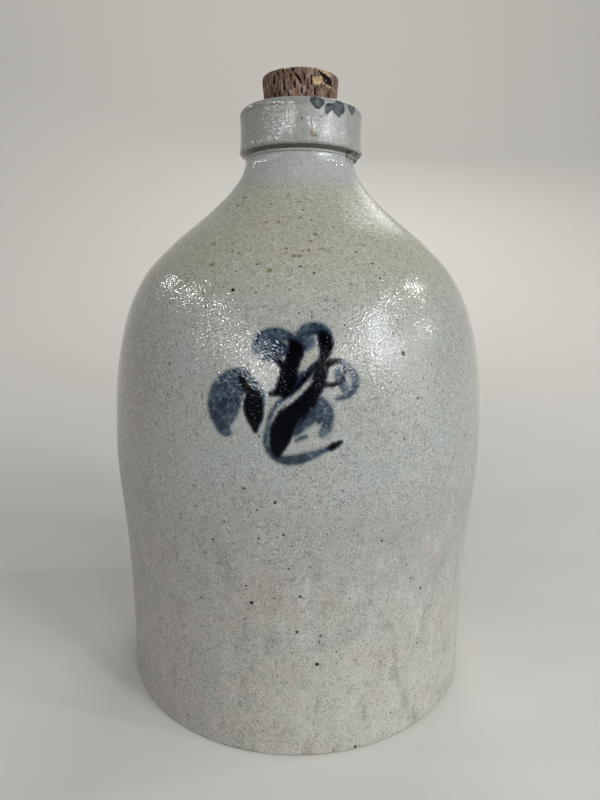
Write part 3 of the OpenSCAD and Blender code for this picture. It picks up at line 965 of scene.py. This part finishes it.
def marked_spots(graph, place, outline, spots, softness):
    """The larger spots, each at its own place on the wall."""
    nearest = 1.0
    for radius, middles in spots.items():
        for across, height in middles:
            wall = float(outline.radius(height))
            angle = across / wall
            middle = Vector((wall * math.sin(angle), -wall * math.cos(angle), height)) * MM
            away = graph.vectors("DISTANCE", place, middle, "Value")
            nearest = graph.math("MINIMUM", nearest, graph.math("SUBTRACT", away, radius * MM))
    away = graph.scaled(graph.noise(place, 0.9, detail=1), 0.8 * MM, nearest)
    return graph.band(away, (0.4 + softness) * MM, (0.4 - softness) * MM)


def cobalt(graph, place, colour):
    """The brushed cobalt: mottled washes, and near black with a blue fringe where the brush was loaded."""
    band = graph.band
    fray = graph.scaled(graph.noise(place, 1.4, roughness=0.6), 2.0, -1.0)
    wash = graph.scaled(fray, 0.6, graph.attribute("wash"))
    dark = graph.scaled(fray, 0.8, graph.attribute("dark"))
    mottle = graph.noise(place, 2.2, detail=3, roughness=0.65)
    strength = graph.scaled(graph.attribute("load"), 0.24, mottle)
    body = band(wash, -0.8, 1.2)
    inner_fringe = graph.times(band(dark, -2.4, -0.2), body)
    fringe = graph.math("MAXIMUM", inner_fringe, band(dark, -1.4, 0.2))
    black = band(dark, -1.1, 0.9)
    blue = graph.mix(band(strength, 0.24, 0.72), (68, 89, 106), (22, 37, 54))
    graph.put(band(black, 0.0, 1.0, GLOSS, BLACK_GLOSS), graph.shader.inputs["Specular IOR Level"])
    return graph.tinted(colour, [
        ((138, 147, 145), band(graph.math("MAXIMUM", wash, dark), -1.9, 0.2, 0.0, 0.4)),
        (blue, body, band(strength, 0.2, 0.6, 0.78, 0.98)),
        ((26, 40, 62), fringe, 0.85),
        ((3, 5, 10), black),
    ])


def shoulder_ash(graph, place, height, colour):
    """Olive specks of melted ash on the shoulder, drawn out level by the wheel."""
    ash = graph.noise(graph.upright(place, 2.6), 1.8, roughness=0.55)
    shoulder = graph.times(graph.band(height, 0.226, 0.25), graph.band(height, 0.306, 0.285))
    return graph.tinted(colour, [((126, 114, 84), graph.band(ash, 0.57, 0.68), shoulder, 0.5)])


def collar_lines_shade_and_sheen(graph, place, height, colour):
    """Dark lines below and above the collar's bead, partly pooled glaze and partly painted shade under the
    collar, and on the rim a painted dark reflection at its edge and a painted pale reflection on top.
    """
    reach = graph.vectors("LENGTH", graph.upright(place, 0.0), output="Value")
    outside = graph.band(reach, 0.029, 0.031)
    ragged = graph.noise(place, 2.4, detail=3, roughness=0.6)
    line = graph.scaled(ragged, 1.2 * MM, height)
    soft = 0.3
    for low, high, strength, shade in COLLAR_LINES_SHADE_AND_SHEEN:
        above = graph.band(line, (low - soft) * MM, (low + soft) * MM)
        below = graph.band(line, (high + soft) * MM, (high - soft) * MM)
        colour = graph.tinted(colour, [(shade, above, below, outside, strength)])
    return colour


def bare_places(graph, place, height, colour, roughness):
    """Where the glaze ends or ran: drips, clefts with painted shade in them, chips with painted light and
    shade on their facets, the slip inside and the clay under the foot.
    """
    band = graph.band
    grit = graph.noise(place, 0.6, detail=3, roughness=0.7)
    coarse = band(grit, 0.3, 0.7)
    # The chips' dark grey, with lighter and darker facets painted as facets that catch the light or lie in
    # shade
    facets = graph.axis(graph.cells(place, 2.4).outputs["Color"], "X")
    chip_slate_and_facet_shade = graph.mix(band(facets, 0.2, 0.9), (42, 46, 50), (84, 90, 93))
    chip_slate_and_facet_shade = graph.mix(band(grit, 0.5, 0.75, 0.0, 0.6), chip_slate_and_facet_shade, (32, 34, 38))
    ragged = graph.scaled(band(grit, 0.3, 0.7, -0.5, 0.5), 0.7, graph.attribute("chip"))
    chipped = band(ragged, -0.2, 0.2)
    edge = graph.scaled(graph.noise(place, 4), 6.0, -3.0)
    slipped = band(graph.math("ADD", graph.attribute("slip"), edge), 12.2, 13.4)
    under = band(height, 1.1 * MM, 0.3 * MM)
    colour = graph.tinted(colour, [
        (graph.mix(coarse, (112, 112, 96), (148, 149, 138)), band(graph.attribute("drip"), 0.2, 1.2)),
        # Near black in the clefts is painted shade
        ((22, 20, 18), band(graph.attribute("cleft"), -0.3, 0.3)),
        (chip_slate_and_facet_shade, chipped),
        (graph.mix(coarse, (52, 33, 22), (84, 55, 36)), slipped),
        (graph.mix(coarse, (168, 152, 130), (196, 182, 160)), under),
    ])
    roughness = graph.mix(chipped, roughness, grey(CHIP_ROUGHNESS))
    return colour, graph.mix(under, roughness, grey(CLAY_ROUGHNESS))


def salt_glaze(name, outline, decorated):
    """Salt-glazed stoneware: grey, mottled and pebbled like orange peel, with iron and olive specks."""
    graph = Graph(name)
    band = graph.band
    place = graph.place()
    height = graph.axis(place, "Z")
    grain = graph.noise(place, 0.9, roughness=0.65)
    blotches = graph.noise(place, 6, roughness=0.6)
    mottle = graph.noise(place, 3.2, detail=3, roughness=0.6)
    smooth_neck = band(height, 0.288, 0.304, 1.0, 0.35)
    coarse = graph.times(band(blotches, 0.35, 0.65, 0.45, 1.0), smooth_neck)
    colour = graph.tinted(glaze_ground(graph, place, height), [
        ((106, 105, 97), band(grain, 0.5, 0.67, 0.0, 0.75), coarse),
        ((206, 208, 202), band(grain, 0.5, 0.33, 0.0, 0.6), coarse),
        ((200, 200, 192), band(mottle, 0.43, 0.3, 0.0, 0.4)),
        ((132, 129, 119), band(mottle, 0.55, 0.68, 0.0, 0.35)),
    ])
    colour = shoulder_ash(graph, place, height, colour)
    for size, share, radius, strength in SPECK_LAYERS:
        specks = iron_specks(graph, place, size, share, radius)
        colour = graph.tinted(colour, [((46, 44, 38), specks, strength)])

    roughness = band(graph.noise(place, 9), 0.3, 0.7, *GLAZE_ROUGHNESS)
    roughness = graph.math("ADD", roughness, band(height, 0.175, 0.13, 0.0, LOW_WALL_ROUGHNESS))
    pebbles = graph.cells(place, PEBBLE_SIZE, feature="SMOOTH_F1").outputs["Distance"]
    domes = graph.times(pebbles, pebbles, -1.0)
    ripple = graph.noise(place, 2.4, detail=1)
    normal = graph.bump(ripple, RIPPLE_DEPTH, below=graph.bump(domes, PEBBLE_DEPTH))
    if decorated:
        # Dark lines under the collar with painted shade, and painted reflections on the rim
        colour = collar_lines_shade_and_sheen(graph, place, height, colour)
        olive = marked_spots(graph, place, outline, OLIVE_SPOTS, 0.4)
        colour = cobalt(graph, place, graph.tinted(colour, [((116, 104, 68), olive, 0.75)]))
        colour = graph.mix(marked_spots(graph, place, outline, SPECKS, 0.2), colour, (26, 24, 22))
        colour, roughness = bare_places(graph, place, height, colour, roughness)
    return graph.finish(colour, roughness, normal)


def place_camera():
    camera = add_object("camera", bpy.data.cameras.new("camera"))
    bpy.context.scene.camera = camera
    camera.data.sensor_width = SENSOR
    camera.data.lens = FOCAL_PIXELS * SENSOR / PHOTO_HEIGHT_PIXELS
    camera.data.clip_start = 0.01
    level = Matrix.Rotation(math.radians(90 + CAMERA_PITCH), 4, "X")
    turn = Matrix.Rotation(math.radians(-CAMERA_YAW), 4, "Z")
    roll = Matrix.Rotation(math.radians(CAMERA_ROLL), 4, "Z")
    camera.matrix_world = Matrix.Translation(CAMERA_PLACE) @ turn @ level @ roll


def area_lamp(name, place, target, width, height, watts, colour):
    lamp = bpy.data.lights.new(name, "AREA")
    lamp.shape = "RECTANGLE"
    lamp.size = width
    lamp.size_y = height
    lamp.energy = watts
    lamp.color = colour
    holder = add_object(name, lamp)
    holder.location = place
    holder.rotation_euler = (Vector(target) - Vector(place)).to_track_quat("-Z", "Y").to_euler()
    holder.visible_camera = False


def light_the_room():
    """Rows of small ceiling lights beside the jug, a cool window at the right and a few softer lamps."""
    for row, (watts, size, places) in CEILING_ROWS.items():
        for number, (across, reach) in enumerate(places):
            area_lamp(f"{row}_ceiling_light_{number}", (across, reach, CEILING_HEIGHT), CEILING_TARGET,
                      size, size, watts, CEILING_COLOUR)
    for name, settings in OTHER_LAMPS.items():
        area_lamp(name, *settings)
    world = bpy.data.worlds.new("room")
    bpy.context.scene.world = world
    world.use_nodes = True
    background = world.node_tree.nodes["Background"]
    background.inputs["Color"].default_value = srgb(*WORLD_COLOUR)
    background.inputs["Strength"].default_value = WORLD_STRENGTH


def backdrop_colour(graph):
    """Pale where it is seen, straight or in a reflection, and darker as a source of bounced light."""
    path = graph.node("LightPath", {}).outputs
    mirrored = graph.math("MAXIMUM", path["Is Glossy Ray"], path["Is Transmission Ray"])
    return graph.mix(graph.math("MAXIMUM", path["Is Camera Ray"], mirrored), BOUNCE_COLOUR, PALE_COLOUR)


def pale_backdrop():
    """A pale round floor, in metres, that sweeps up into a wall all round the jug and the lamps."""
    middle, radius, top, bend = -3.3, 7.0, 8.0, 2.6
    bend_steps, sides = 12, 96
    grain, roughness = 0.05, 0.8
    turn = np.linspace(0, math.pi / 2, bend_steps + 1)
    radii = radius - bend * (1 - np.sin(turn))
    heights = bend * (1 - np.cos(turn))
    places = turned_places([0, *radii, radius], [0, *heights, top], np.arange(sides) * 360 / sides)
    places[:, :, 1] += middle
    backdrop = add_mesh("backdrop", places, ring_faces(*places.shape[:2]))
    graph = Graph("pale_backdrop")
    normal = graph.bump(graph.noise(graph.place(), 3), grain)
    backdrop.data.materials.append(graph.finish(backdrop_colour(graph), roughness, normal))


def dress_jug():
    outline = Outline("jug_body")
    shell = jug_shell(outline)
    shell.data.materials.append(salt_glaze("salt_glaze", outline, True))
    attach(shell, "jug")
    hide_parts("jug_body")
    strap = pulled_strap(outline)
    strap.data.materials.append(salt_glaze("strap_glaze", outline, False))
    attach(strap, "jug")
    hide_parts("strap_handle")


def dress_stopper():
    cork = cork_piece()
    cork.data.materials.append(cork_bark())
    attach(cork, "stopper")
    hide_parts("cork_stopper")


bpy.context.scene.view_settings.view_transform = "Standard"
place_camera()
light_the_room()
pale_backdrop()
dress_jug()
dress_stopper()
